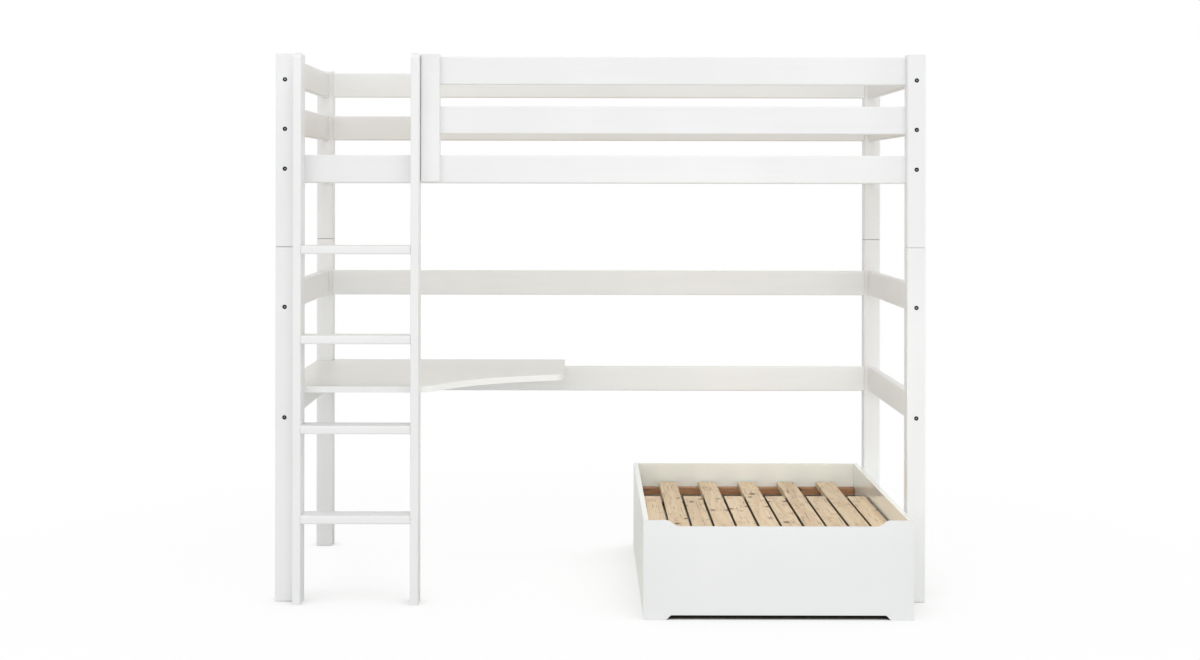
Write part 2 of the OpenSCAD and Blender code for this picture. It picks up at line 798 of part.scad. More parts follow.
module front_panel_outline() {
    last = len(FRONT_PANEL_HALF) - 1;
    polygon(concat(FRONT_PANEL_HALF,
        [for (index = [last:-1:0]) [-FRONT_PANEL_HALF[index][0], FRONT_PANEL_HALF[index][1]]]));
}

module at_front_panel_screws()
    for (part = FRONT_BEARER_SCREWS)
        translate([lounge_x + part * runner_inner, front_bearer_y + bearer_depth,
            bearer_top - bearer_height / 2]) inward_y(REAR) children();

module at_bearer_end_screws()
    for (side = [LEFT, RIGHT], y = [front_bearer_y, cross_bearer_y])
        translate([lounge_x + side * runner_half, y + bearer_depth / 2,
            bearer_top - bearer_height / 2]) inward_x(side) children();

module at_short_slat_screws()
    for (index = [0:2:lounge_slat_count - 1], y = [front_bearer_y, cross_bearer_y])
        translate([lounge_slat_x(index) + short_screw_shift(index), y + bearer_depth / 2,
            lounge_slat_z - slide_gap])
            rotate([180, 0, 0]) children();

// The outermost slats are screwed nearer to their inner edge, clear of the runners below
function short_screw_shift(index) =
    index == 0 ? slat_screw_spread : index == lounge_slat_count - 1 ? -slat_screw_spread : 0;

module lounge_front_panel() {
    color("white") difference() {
        translate([lounge_x, panel_back, 0])
            rotate([90, 0, 0]) linear_extrude(lounge_board) front_panel_outline();
        at_front_panel_screws() screw_hole(front_screw_length);
    }
}

module lounge_runner(side) {
    x0 = side == LEFT ? lounge_x - runner_half : lounge_x + runner_inner;
    color("burlywood") difference() {
        block(x0, x0 + lounge_board, panel_back + seat, short_slat_end, glide_height, bearer_top);
        at_bearer_end_screws() screw_hole(end_screw_length);
        at_glides(side) glide_pin_hole();
    }
}

module front_bearer_cuts() {
    at_front_panel_screws() screw_hole(front_screw_length);
    at_bearer_end_screws() screw_hole(end_screw_length);
    at_short_slat_screws() screw_hole(slat_screw_length);
}

module lounge_front_bearer() {
    color("burlywood") difference() {
        bearer(runner_inner, front_bearer_y, bearer_top);
        front_bearer_cuts();
    }
}

module lounge_cross_bearer() {
    color("burlywood") difference() {
        bearer(runner_inner, cross_bearer_y, bearer_top);
        front_bearer_cuts();
    }
}

module lounge_short_slats() {
    color("burlywood") difference() {
        for (index = [0:2:lounge_slat_count - 1])
            lounge_slat(index, panel_back + seat, short_slat_end, slat_under - slide_gap);
        at_short_slat_screws() screw_hole(slat_screw_length);
    }
}

module lounge_front_screws() {
    color("silver") {
        at_front_panel_screws() screw(front_screw_length);
        at_bearer_end_screws() screw(end_screw_length);
        at_short_slat_screws() screw(slat_screw_length);
    }
}

module at_glides(side)
    translate([lounge_x + side * (runner_half - lounge_board / 2), short_slat_end - glide_setback, 0])
        children();

module glide_pin_hole()
    cylinder(h = glide_height + glide_pin_length + cut, d = glide_pin_d + 2 * screw_slack);

module lounge_glides() {
    color("ivory") for (side = [LEFT, RIGHT]) at_glides(side) {
        cylinder(h = glide_height - seat, d = glide_d);
        cylinder(h = glide_height + glide_pin_length, d = glide_pin_d);
    }
}

post_lower(LEFT, FRONT);  // post_lower_front_left
post_lower(RIGHT, FRONT);  // post_lower_front_right
post_lower(LEFT, REAR);  // post_lower_rear_left
post_lower(RIGHT, REAR);  // post_lower_rear_right
post_upper(LEFT, FRONT);  // post_upper_front_left
post_upper(RIGHT, FRONT);  // post_upper_front_right
post_upper(LEFT, REAR);  // post_upper_rear_left
post_upper(RIGHT, REAR);  // post_upper_rear_right
post_pins();
end_rail(LEFT, 0);  // end_rail_left_1
end_rail(LEFT, 1);  // end_rail_left_2
end_rail(LEFT, 2);  // end_rail_left_3
end_rail(LEFT, 3);  // end_rail_left_4
end_rail(LEFT, 4);  // end_rail_left_5
end_rail(RIGHT, 0);  // end_rail_right_1
end_rail(RIGHT, 1);  // end_rail_right_2
end_rail(RIGHT, 2);  // end_rail_right_3
end_rail(RIGHT, 3);  // end_rail_right_4
end_rail(RIGHT, 4);  // end_rail_right_5
long_rail(REAR, 0, -inner_x);  // desk_rail_rear
long_rail(REAR, 1, -inner_x);  // brace_rail_rear
long_rail(REAR, 2, -inner_x);  // bed_rail_rear
long_rail(REAR, 3, -inner_x);  // guard_rail_rear_lower
long_rail(REAR, 4, -inner_x);  // guard_rail_rear_upper
long_rail(FRONT, 2, -inner_x);  // bed_rail_front
long_rail(FRONT, 3, guard_x0 + post_size);  // guard_rail_front_lower
long_rail(FRONT, 4, guard_x0 + post_size);  // guard_rail_front_upper
guard_post();
frame_bolts();
barrel_nuts();
frame_dowels();
frame_screws();
ladder_side(ladder_left_x);  // ladder_side_left
ladder_side(ladder_right_x);  // ladder_side_right
ladder_step(1);  // ladder_step_1
ladder_step(2);  // ladder_step_2
ladder_step(3);  // ladder_step_3
ladder_step(4);  // ladder_step_4
slat_ledge(FRONT);  // slat_ledge_front
slat_ledge(REAR);  // slat_ledge_rear
bed_slats();
slat_base_screws();
desk_top();
desk_brackets();
desk_screws();
lounge_rear_panel();
lounge_side(LEFT);  // lounge_side_left
lounge_side(RIGHT);  // lounge_side_right
lounge_rear_bearer();
lounge_long_slats();
lounge_base_dowels();
lounge_long_slat_screws();
lounge_front_panel();
lounge_runner(LEFT);  // lounge_runner_left
lounge_runner(RIGHT);  // lounge_runner_right
lounge_front_bearer();
lounge_cross_bearer();
lounge_short_slats();
lounge_front_screws();
lounge_glides();
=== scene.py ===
"""Looks of the cabin bed: materials, eased edges, floor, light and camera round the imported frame.

Lengths are in metres. Every CAD node's object has its origin at the frame's origin, so the object
coordinates of the textures are places in the frame at rest, and the figure moves with its piece.
"""

import math

import bpy
from mathutils import Euler, Matrix, Vector


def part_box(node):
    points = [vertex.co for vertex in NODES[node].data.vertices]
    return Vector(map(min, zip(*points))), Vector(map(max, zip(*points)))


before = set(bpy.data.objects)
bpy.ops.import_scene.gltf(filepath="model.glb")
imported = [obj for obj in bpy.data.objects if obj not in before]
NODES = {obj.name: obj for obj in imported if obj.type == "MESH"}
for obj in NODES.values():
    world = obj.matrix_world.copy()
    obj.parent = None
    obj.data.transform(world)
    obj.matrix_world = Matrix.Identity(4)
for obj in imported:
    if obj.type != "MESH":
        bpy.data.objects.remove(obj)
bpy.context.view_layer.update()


# ---- Node graphs ----

class Graph:
    """A material's node tree, with short calls for the nodes that the materials use."""

    def __init__(self, name):
        self.material = bpy.data.materials.new(name)
        self.material.use_nodes = True
        self.tree = self.material.node_tree
        self.tree.nodes.clear()
        self.output = self.tree.nodes.new("ShaderNodeOutputMaterial")
        self.shader = self.tree.nodes.new("ShaderNodeBsdfPrincipled")
        self.tree.links.new(self.shader.outputs[0], self.output.inputs[0])
        coords = self.tree.nodes.new("ShaderNodeTexCoord")
        self.place = coords.outputs["Object"]

    def put(self, socket, value):
        """A link where value is another node's output, otherwise a constant."""
        if isinstance(value, bpy.types.NodeSocket):
            self.tree.links.new(value, socket)
        else:
            socket.default_value = value

    def math(self, operation, a, b=0.0):
        n = self.tree.nodes.new("ShaderNodeMath")
        n.operation = operation
        for socket, value in zip(n.inputs, (a, b)):
            self.put(socket, value)
        return n.outputs[0]

    def add(self, a, b):
        return self.math("ADD", a, b)

    def sub(self, a, b):
        return self.math("SUBTRACT", a, b)

    def mul(self, a, b):
        return self.math("MULTIPLY", a, b)

    def hypot(self, a, b):
        return self.math("SQRT", self.add(self.mul(a, a), self.mul(b, b)))

    def split(self, vector):
        n = self.tree.nodes.new("ShaderNodeSeparateXYZ")
        self.put(n.inputs[0], vector)
        return n.outputs

    def join(self, x, y, z):
        n = self.tree.nodes.new("ShaderNodeCombineXYZ")
        for socket, value in zip(n.inputs, (x, y, z)):
            self.put(socket, value)
        return n.outputs[0]

    def noise(self, vector, scale, detail=3.0, roughness=0.5, distortion=0.0):
        n = self.tree.nodes.new("ShaderNodeTexNoise")
        self.put(n.inputs["Vector"], vector)
        n.inputs["Scale"].default_value = scale
        n.inputs["Detail"].default_value = detail
        n.inputs["Roughness"].default_value = roughness
        n.inputs["Distortion"].default_value = distortion
        return n.outputs["Fac"]

    def cells(self, vector):
        """The distance to the nearest cell's point, in cells, and that cell's own colour."""
        n = self.tree.nodes.new("ShaderNodeTexVoronoi")
        self.put(n.inputs["Vector"], vector)
        n.inputs["Scale"].default_value = 1.0
        return n.outputs["Distance"], n.outputs["Color"]

    def chance(self, number):
        """A value and a colour that are always the same for the same number."""
        n = self.tree.nodes.new("ShaderNodeTexWhiteNoise")
        n.noise_dimensions = "1D"
        self.put(n.inputs["W"], number)
        return n.outputs["Value"], n.outputs["Color"]

    def openness(self, distance, samples=8):
        """1 on open surfaces, towards 0 deep in gaps no wider than the distance."""
        n = self.tree.nodes.new("ShaderNodeAmbientOcclusion")
        n.samples = samples
        n.inputs["Distance"].default_value = distance
        return n.outputs["AO"]

    def fit(self, value, low, high, at_low=0.0, at_high=1.0, smooth=False):
        """Value from low..high to at_low..at_high, held inside it."""
        n = self.tree.nodes.new("ShaderNodeMapRange")
        n.interpolation_type = "SMOOTHSTEP" if smooth else "LINEAR"
        for socket, number in zip(n.inputs, (value, low, high, at_low, at_high)):
            self.put(socket, number)
        return n.outputs[0]

    def blend(self, part, a, b, mode="MIX"):
        n = self.tree.nodes.new("ShaderNodeMix")
        n.data_type = "RGBA"
        n.blend_type = mode
        self.put(n.inputs["Factor"], part)
        self.put(n.inputs["A"], a)
        self.put(n.inputs["B"], b)
        return n.outputs["Result"]

    def bump(self, height, strength, distance, under=None):
        n = self.tree.nodes.new("ShaderNodeBump")
        n.inputs["Strength"].default_value = strength
        n.inputs["Distance"].default_value = distance
        self.put(n.inputs["Height"], height)
        if under is not None:
            self.put(n.inputs["Normal"], under)
        return n.outputs[0]

    def finish(self, color, roughness, normal=None, **settings):
        self.put(self.shader.inputs["Base Color"], color)
        self.put(self.shader.inputs["Roughness"], roughness)
        if normal is not None:
            self.put(self.shader.inputs["Normal"], normal)
        for name, value in settings.items():
            self.shader.inputs[name.replace("_", " ")].default_value = value
        return self.material


def srgb(r, g, b):
    """An 8-bit screen colour as linear RGBA."""
    def linear(v):
        v /= 255
        return v / 12.92 if v <= 0.04045 else ((v + 0.055) / 1.055) ** 2.4
    return (linear(r), linear(g), linear(b), 1.0)


# ---- Colours ----

# Light and dark of the soft clouds in a white surface
WOOD_WHITE = (srgb(242, 242, 243), srgb(239, 239, 240))
# Painted shade: a darker copy of the white for the right front post
POST_WHITE_PAINTED_SHADE = (srgb(240, 240, 241), srgb(237, 237, 238))
# Painted light: a lighter copy of the white for the rails at the back
REAR_RAIL_PAINTED_LIGHT = (srgb(248, 249, 250), srgb(245, 246, 247))
DESK_WHITE = (srgb(243, 243, 241), srgb(240, 240, 238))
FRONT_WHITE = (srgb(237, 237, 238), srgb(233, 234, 235))
# Painted light: the lounge's rear and side panels are lighter than its front panel
LOUNGE_PANEL_PAINTED_LIGHT = (srgb(248, 250, 244), srgb(246, 248, 242))
# Painted light: the lighter tone of a board's side faces
PAINTED_EDGE_LIGHT = srgb(251, 251, 251)
STREAK, FINE_STREAK, SEAM = srgb(236, 236, 233), srgb(230, 229, 224), srgb(96, 94, 90)

# Early wood, late wood and knots
PINE = (srgb(239, 219, 189), srgb(205, 170, 132), srgb(88, 56, 36))
# Painted shade: darker, redder pine for the bearer that lies in shade under the slats
PINE_PAINTED_SHADE = (srgb(188, 140, 102), srgb(138, 92, 64), srgb(66, 40, 28))
BEECH = (srgb(218, 184, 142), srgb(192, 152, 108), srgb(170, 130, 92))
# Painted shade: the near-black that the pine turns to deep in narrow gaps
KNOT_RIM, GAP_PAINTED_SHADE = srgb(48, 32, 22), srgb(12, 9, 7)
BOARD_LIGHTEST, BOARD_DARKEST = (1.0, 0.985, 0.97, 1), (0.90, 0.875, 0.84, 1)

BLACKENED = (srgb(6, 6, 7), srgb(15, 15, 16))
# Painted highlight: the bright steel deep in a bolt's socket
SOCKET_HIGHLIGHT = srgb(250, 250, 250)
ZINC_PLATE = (srgb(196, 198, 202), srgb(176, 180, 184))
GLIDE = (srgb(226, 223, 213), srgb(214, 210, 199))

FLOOR_PALE = ((0.93, 0.93, 0.93, 1), (0.95, 0.95, 0.95, 1))
# Painted shade: the floor's colour where the object covers it
FLOOR_PAINTED_SHADE = (0.10, 0.08, 0.06, 1)
PURE_WHITE = (1, 1, 1, 1)


# ---- White lacquered wood and board ----

WHITE_STRETCH = 22.0                # how much longer than wide the white wood's streaks are
WHITE_SEED_STEP = 1.37              # moves the streaks of each seed to another place
SEAM_HALF = (0.0010, 0.0022)        # the seam is full within the first and gone past the second


def along(g, axis, stretch):
    """Coordinates squeezed along the grain, so that noise in them runs in streaks."""
    parts = list(g.split(g.place))
    grain = "XYZ".index(axis)
    parts[grain] = g.mul(parts[grain], 1.0 / stretch)
    return g.join(*parts)


def white_wood(axis, seed, tones=WOOD_WHITE, joint=None, seam=0.4):
    """Satin white lacquer on solid pine, whose grain shows as faint streaks.

    joint is the height of a dark seam across it, and seam is how dark that is.
    """
    g = Graph(f"white_wood_{axis.lower()}_{seed}" + ("_jointed" if joint else ""))
    squeezed = g.split(along(g, axis, WHITE_STRETCH))
    streak_at = g.join(*[g.add(part, seed * WHITE_SEED_STEP) for part in squeezed])
    fine = g.noise(streak_at, scale=420.0, detail=4.0, roughness=0.62)
    broad = g.noise(streak_at, scale=60.0, detail=3.0, roughness=0.55, distortion=0.4)
    cloud = g.noise(g.place, scale=3.2, detail=2.0)
    orange_peel = g.noise(g.place, scale=900.0, detail=2.0)
    tone = g.blend(g.fit(cloud, 0.35, 0.65), *tones)
    tone = g.blend(g.fit(broad, 0.48, 0.72, 0.0, 0.20), tone, STREAK)
    tone = g.blend(g.fit(fine, 0.60, 0.80, 0.0, 0.10), tone, FINE_STREAK)
    if joint:
        off = g.math("ABSOLUTE", g.sub(g.split(g.place)[2], joint))
        tone = g.blend(g.fit(off, *SEAM_HALF, seam, 0.0), tone, SEAM)
    rough = g.fit(fine, 0.3, 0.8, 0.30, 0.42)
    relief = g.add(g.mul(fine, 0.6), g.mul(broad, 0.5))
    normal = g.bump(relief, strength=0.08, distance=0.0006)
    normal = g.bump(orange_peel, strength=0.05, distance=0.0002, under=normal)
    return g.finish(tone, rough, normal)


def white_board(name, tones, rough, relief, edge=None, shine=0.5):
    """Sprayed fibreboard with only a fine orange peel and, if given, lighter side faces: painted
    light.
    """
    g = Graph(name)
    cloud = g.noise(g.place, scale=2.4, roughness=0.55)
    peel = g.noise(g.place, scale=380.0)
    tone = g.blend(g.fit(cloud, 0.3, 0.7), *tones)
    # Painted light: faces that do not point up or down are lighter than the top
    if edge:
        geometry = g.tree.nodes.new("ShaderNodeNewGeometry")
        faces_up = g.math("ABSOLUTE", g.split(geometry.outputs["True Normal"])[2])
        tone = g.blend(g.fit(faces_up, 0.3, 0.8), edge, tone)
    return g.finish(tone, g.fit(peel, 0.3, 0.7, *rough), g.bump(peel, relief, distance=0.0003),
                    Specular_IOR_Level=shine)


# ---- Pine ----

# Along the grain, across the face and through the board; two letters name a board on its edge
AXES = {"X": (0, 1, 2), "Y": (1, 0, 2), "Z": (2, 0, 1), "XZ": (0, 2, 1), "YZ": (1, 2, 0)}

BOARD_SHIFT = 9.0                   # how far apart in the log two boards can start
KNOTS_ALONG, KNOTS_ACROSS = 12.0, 20.0          # knot cells in each metre
KNOT_LEAP = 31.0                    # sets the knots of one board apart from the next one's
KNOT_CHOICE = (0.41, 0.45)          # a cell whose own number is above these has a knot
KNOT_SIZE = (0.07, 0.24)            # of a cell
RING_BEND = 0.006                   # how far the rings give way to a knot
RINGS_PER_METRE = 260.0
RING_WOBBLE = 0.9                   # in rings
HEART_DEPTH, HEART_DEPTH_MORE = 0.03, 0.05      # how deep the log's heart lies, and chance's share
HEART_ASIDE, HEART_DRIFT = 0.10, 0.09           # its place across the board, and its bend along it
GAP_REACH = 0.03                    # gaps up to this width get painted shade
# Cells of noise in each metre, along and across the grain
FIBRES, PATCHES, RESIN, DRIFT = (14.0, 520.0), (2.0, 12.0), (7.0, 210.0), (0.9, 3.0)
WOBBLE_ALONG = 6.0


def pine(name, axis, pitch, start, tones, seed, gap=0.95):
    """Knotty pine as a solid texture: rings round a log that lies along the grain.

    Boards of one width, pitch, lie side by side from start, each cut from another place of the
    log. gap is how dark the painted shade turns the wood deep in narrow gaps.
    """
    g = Graph(name)
    light, dark, knot = tones
    parts = g.split(g.place)
    length, across, up = (parts[i] for i in AXES[axis])
    board = g.math("FLOOR", g.math("DIVIDE", g.sub(across, start), pitch))
    first, color = g.chance(g.add(board, seed))
    pick = g.split(color)
    centre = g.add(start, g.mul(g.add(board, 0.5), pitch))
    side = g.sub(across, centre)
    run = g.add(length, g.mul(first, BOARD_SHIFT))

    # Knots: each in its own cell, some left out, and the rings bend round them
    knot_at = g.join(g.mul(run, KNOTS_ALONG), g.mul(side, KNOTS_ACROSS), g.mul(first, KNOT_LEAP))
    near, cell_color = g.cells(knot_at)
    cell = g.split(cell_color)
    chosen = g.fit(cell[0], *KNOT_CHOICE)
    reach = g.math("DIVIDE", near, g.fit(cell[1], 0.0, 1.0, *KNOT_SIZE))
    core = g.mul(chosen, g.sub(1.0, g.fit(reach, 0.75, 1.1, smooth=True)))
    rim = g.mul(core, g.fit(reach, 0.45, 0.85))
    halo = g.mul(chosen, g.sub(1.0, g.fit(reach, 0.9, 3.2, smooth=True)))

    # Growth rings: pale early wood turns into dark late wood, which ends sharply
    drift = g.noise(g.join(g.mul(run, DRIFT[0]), g.mul(side, DRIFT[1]), up), scale=3.0, detail=2.0)
    aside = g.add(side, g.mul(g.sub(pick[0], 0.5), HEART_ASIDE))
    aside = g.add(aside, g.mul(g.sub(drift, 0.5), HEART_DRIFT))
    above = g.add(g.add(up, HEART_DEPTH), g.mul(pick[1], HEART_DEPTH_MORE))
    radius = g.sub(g.hypot(aside, above), g.mul(halo, RING_BEND))
    wobble = g.noise(g.join(g.mul(run, WOBBLE_ALONG), side, up), scale=30.0)
    rings = g.add(g.mul(radius, RINGS_PER_METRE), g.mul(wobble, RING_WOBBLE))
    ring = g.math("FRACT", rings)
    late = g.mul(g.fit(ring, 0.35, 0.92, smooth=True), g.sub(1.0, g.fit(ring, 0.93, 1.0)))
    late = g.mul(late, g.fit(g.chance(g.math("FLOOR", rings))[0], 0.0, 1.0, 0.35, 1.0))

    # Fibres, broad patches and short dark resin streaks, all drawn out along the grain
    fibre_at = g.join(g.mul(run, FIBRES[0]), g.mul(side, FIBRES[1]), g.mul(up, FIBRES[1]))
    fibre = g.noise(fibre_at, scale=1.0, roughness=0.6)
    patch_at = g.join(g.mul(run, PATCHES[0]), g.mul(side, PATCHES[1]), first)
    patch = g.noise(patch_at, scale=1.6, detail=2.0)
    resin_at = g.join(g.mul(run, RESIN[0]), g.mul(side, RESIN[1]), g.add(first, 5.0))
    resin = g.noise(resin_at, scale=1.0, detail=2.0)
    tone = g.blend(g.mul(late, 0.52), light, dark)
    tone = g.blend(g.fit(fibre, 0.52, 0.75, 0.0, 0.30), tone, dark)
    tone = g.blend(g.fit(patch, 0.45, 0.75, 0.0, 0.30), tone, dark)
    tone = g.blend(g.fit(resin, 0.62, 0.68, 0.0, 0.62), tone, knot)
    tone = g.blend(g.mul(halo, 0.45), tone, dark)
    tone = g.blend(g.mul(core, 0.80), tone, knot)
    tone = g.blend(g.mul(rim, 0.85), tone, KNOT_RIM)
    tone = g.blend(1.0, tone, g.blend(pick[2], BOARD_LIGHTEST, BOARD_DARKEST), "MULTIPLY")
    # Painted shade: deep in narrow gaps the wood darkens towards near black
    tone = g.blend(g.fit(g.openness(GAP_REACH), 0.28, 0.70, gap, 0.0), tone, GAP_PAINTED_SHADE)

    rough = g.fit(fibre, 0.3, 0.8, 0.52, 0.68)
    relief = g.add(g.mul(fibre, 0.7), g.mul(late, 0.5))
    return g.finish(tone, rough, g.bump(relief, strength=0.35, distance=0.0007))


# ---- Metals and small parts ----

SOCKET_REACH = 0.003                # a little more than the depth of a bolt's socket


def metal_skin(g, tones):
    """A metal's cloudy colour and its fine grain."""
    cloud = g.noise(g.place, scale=160.0, roughness=0.6)
    fine = g.noise(g.place, scale=2400.0, roughness=0.6)
    return g.blend(g.fit(cloud, 0.35, 0.7), *tones), fine


def bolt_black():
    """Blackened steel whose socket floors turn bright and mirror-like: a painted highlight."""
    g = Graph("black_steel")
    # Painted highlight: deep in the socket the dark steel gives way to bright, metallic steel
    socket_highlight = g.fit(g.openness(SOCKET_REACH), 0.35, 0.70, 1.0, 0.0)
    skin, fine = metal_skin(g, BLACKENED)
    g.put(g.shader.inputs["Metallic"], socket_highlight)
    return g.finish(g.blend(socket_highlight, skin, SOCKET_HIGHLIGHT), g.fit(fine, 0.3, 0.75, 0.34, 0.50),
                    g.bump(fine, strength=0.15, distance=0.0001), Specular_IOR_Level=0.08)


def zinc_steel():
    g = Graph("zinc_steel")
    skin, fine = metal_skin(g, ZINC_PLATE)
    return g.finish(skin, g.fit(fine, 0.3, 0.75, 0.28, 0.45),
                    g.bump(fine, strength=0.15, distance=0.0001), Metallic=1.0)


def glide_plastic():
    g = Graph("glide_plastic")
    cloud = g.noise(g.place, scale=90.0)
    fine = g.noise(g.place, scale=1600.0, detail=2.0)
    return g.finish(g.blend(g.fit(cloud, 0.3, 0.7), *GLIDE), g.fit(fine, 0.3, 0.7, 0.42, 0.55),
                    g.bump(fine, strength=0.2, distance=0.0001))


# ---- Which material each node wears ----

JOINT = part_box("post_upper_front_left")[0].z
WHITE = {axis: [white_wood(axis, seed) for seed in (1, 2)] for axis in "XYZ"}
JOINTED = [white_wood("Z", seed, joint=JOINT) for seed in (1, 2)]
# The right front post wears a darker copy of the white, as painted shade, and a fainter seam
CLOSER_JOINT = [white_wood("Z", 3, POST_WHITE_PAINTED_SHADE, JOINT, seam=0.16)]
# The rails at the back wear a lighter copy of the white, as painted light
REAR_RAIL = [white_wood("X", 4, REAR_RAIL_PAINTED_LIGHT)]
DESK_BOARD = [white_board("desk_board", DESK_WHITE, (0.30, 0.38), 0.10, edge=PAINTED_EDGE_LIGHT)]
FRONT_BOARD = [white_board("front_board", FRONT_WHITE, (0.30, 0.38), 0.10)]
# The lounge's rear and side panels are made lighter than the other white boards, as painted light
# for their place in the shade
GLOSSY_BOARD = [white_board("glossy_board", LOUNGE_PANEL_PAINTED_LIGHT, (0.02, 0.04), 0.01, shine=0.8)]
BOLT = [bolt_black()]
ZINC = [zinc_steel()]
PLASTIC = [glide_plastic()]

# A slat's width, and the steps from the first slat of a row to its last
LOUNGE_SLAT, LOUNGE_STEPS = 0.0645, 8
BED_SLAT, BED_STEPS = 0.07, 13
# Boards too wide for a single piece to cross from one to the next, and dowels' own
SINGLE, SINGLE_START = 0.4, -0.05
DOWEL_PITCH = 0.02


def slat_pine(name, node, width, steps, seed):
    """Pine whose board changes in the middle of each gap between the slats of a row."""
    low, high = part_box(node)
    pitch = (high.x - low.x - width) / steps
    return pine(name, "Y", pitch, low.x - (pitch - width) / 2, PINE, seed)


LOUNGE_PINE = [slat_pine("pine_lounge_slats", "lounge_long_slats", LOUNGE_SLAT, LOUNGE_STEPS, 3.5)]
BED_PINE = [slat_pine("pine_bed_slats", "bed_slats", BED_SLAT, BED_STEPS, 43.5)]
PINE_X = [pine("pine_along_x", "XZ", SINGLE, SINGLE_START, PINE, 83.5)]
PINE_Y = [pine("pine_along_y", "YZ", SINGLE, SINGLE_START, PINE, 123.5, gap=0.0)]
# The rear bearer wears darker, redder pine: painted shade under the lounge's slats
BEARER_PAINTED_SHADE = [pine("pine_painted_shade", "XZ", SINGLE, SINGLE_START, PINE_PAINTED_SHADE, 163.5)]
BEECH_WOOD = [pine("beech", "Z", DOWEL_PITCH, 0.0, BEECH, 203.5)]

# Each node wears the materials of the longest key that its name starts with, in turn
MADE_OF = {
    "post_lower": JOINTED, "post_upper": JOINTED,
    "post_lower_front_right": CLOSER_JOINT, "post_upper_front_right": CLOSER_JOINT,
    "guard_post": WHITE["Z"], "ladder_side": WHITE["Z"], "ladder_step": WHITE["X"],
    "end_rail": WHITE["Y"], "bed_rail": WHITE["X"], "guard_rail": WHITE["X"],
    "guard_rail_rear_upper": REAR_RAIL, "brace_rail": REAR_RAIL, "desk_rail": REAR_RAIL,
    "desk_top": DESK_BOARD,
    "slat_ledge": PINE_X, "bed_slats": BED_PINE,
    "lounge_rear_panel": GLOSSY_BOARD, "lounge_side": GLOSSY_BOARD,
    "lounge_front_panel": FRONT_BOARD, "lounge_runner": PINE_Y,
    "lounge_long_slats": LOUNGE_PINE, "lounge_short_slats": LOUNGE_PINE,
    "lounge_front_bearer": PINE_X, "lounge_cross_bearer": PINE_X,
    "lounge_rear_bearer": BEARER_PAINTED_SHADE, "lounge_glides": PLASTIC,
    "frame_bolts": BOLT, "barrel_nuts": ZINC, "post_pins": ZINC, "frame_screws": ZINC,
    "slat_base_screws": ZINC, "desk_brackets": ZINC, "desk_screws": ZINC,
    "lounge_long_slat_screws": ZINC, "lounge_front_screws": ZINC,
    "frame_dowels": BEECH_WOOD, "lounge_base_dowels": BEECH_WOOD,
}


# ---- Eased edges ----

# Small fittings keep the edges that they have in the solids
KEPT_CRISP = ("frame_bolts", "barrel_nuts", "frame_screws", "frame_dowels", "slat_base_screws",
              "desk_brackets", "desk_screws", "lounge_long_slat_screws", "lounge_front_screws",
              "lounge_base_dowels", "lounge_glides")
BOARD_EDGE, DESK_EDGE = (0.0008, 2), (0.003, 4)         # width and segments
WELD_WITHIN = 0.00001
FLAT_WITHIN, EDGE_ABOVE = math.radians(0.3), math.radians(35)


def soften(piece, width, segments):
    """Eases the crisp edges of a board, as sanding does."""
    weld = piece.modifiers.new("weld", "WELD")
    weld.merge_threshold = WELD_WITHIN
    flat = piece.modifiers.new("flat", "DECIMATE")
    flat.decimate_type = "DISSOLVE"
    flat.angle_limit = FLAT_WITHIN
    bevel = piece.modifiers.new("bevel", "BEVEL")
    bevel.width = width
    bevel.segments = segments
    bevel.limit_method = "ANGLE"
    bevel.angle_limit = EDGE_ABOVE
    bevel.use_clamp_overlap = True
    normals = piece.modifiers.new("normals", "WEIGHTED_NORMAL")
    normals.keep_sharp = False


for number, (name, piece) in enumerate(sorted(NODES.items())):
    longest = max((start for start in MADE_OF if name.startswith(start)), key=len)
    choices = MADE_OF[longest]
    piece.data.materials.clear()
    piece.data.materials.append(choices[number % len(choices)])
    if name not in KEPT_CRISP:
        soften(piece, *(DESK_EDGE if name == "desk_top" else BOARD_EDGE))


# ---- Floor, light and camera ----

FLOOR_HALF = 30.0
FLOOR_ROUGHNESS = 0.9
NEAR_WHITE = 0.95                   # the floor's share of white under the object
FLOOR_WHITENS = (1.3, 3.4)          # distances from the middle between which it turns fully white
SHADOW_REACH, SHADOW_SAMPLES = 0.7, 16
COVERED, SHADED = (0.05, 0.35), (0.14, 0.80)    # openness from full shadow to none

WORLD_TINT, WORLD_STRENGTH = (0.985, 0.998, 0.968, 1), 0.60

FRONT_TINT, SIDE_TINT = (0.985, 0.992, 1.0), (0.99, 1.0, 0.98)
TOP_TINT, LOUNGE_TINT = (0.99, 0.995, 1.0), (1.0, 0.995, 0.97)
WIDE, NARROW = 180, 22              # spread in degrees

# Name, place, target, size, watts, tint and spread
LAMPS = (
    ("key", (3.5, -12.0, 3.0), (0, 0, 0.7), (6.0, 3.5), 108, FRONT_TINT, WIDE),
    ("front_fill", (-5.0, -11.0, 2.6), (0, 0, 0.7), (6.0, 3.5), 120, FRONT_TINT, WIDE),
    ("right_fill", (9.0, -1.5, 1.6), (0, 0, 0.9), (5.0, 3.0), 138, SIDE_TINT, WIDE),
    ("overhead", (0.0, -4.0, 9.0), (0, 0, 0.9), (6.0, 5.0), 208, TOP_TINT, WIDE),
    ("left_fill", (-9.0, -1.5, 1.6), (0, 0, 0.6), (5.0, 3.0), 52, SIDE_TINT, WIDE),
    ("lounge_fill", (-0.4, -3.3, 2.5), (0.65, 0.35, 0.27), (0.9, 0.6), 0.76, LOUNGE_TINT, NARROW),
)

# Fitted to the photo: the place from its perspective, the lens and shift from its framing
CAMERA_PLACE = Vector((-0.0502, -6.5815, 1.336))
CAMERA_ROLL = math.radians(0.10)
LENS, SENSOR, SHIFT, CLIP_END = 57.9, 36.0, (0.0124, -0.12), 100.0


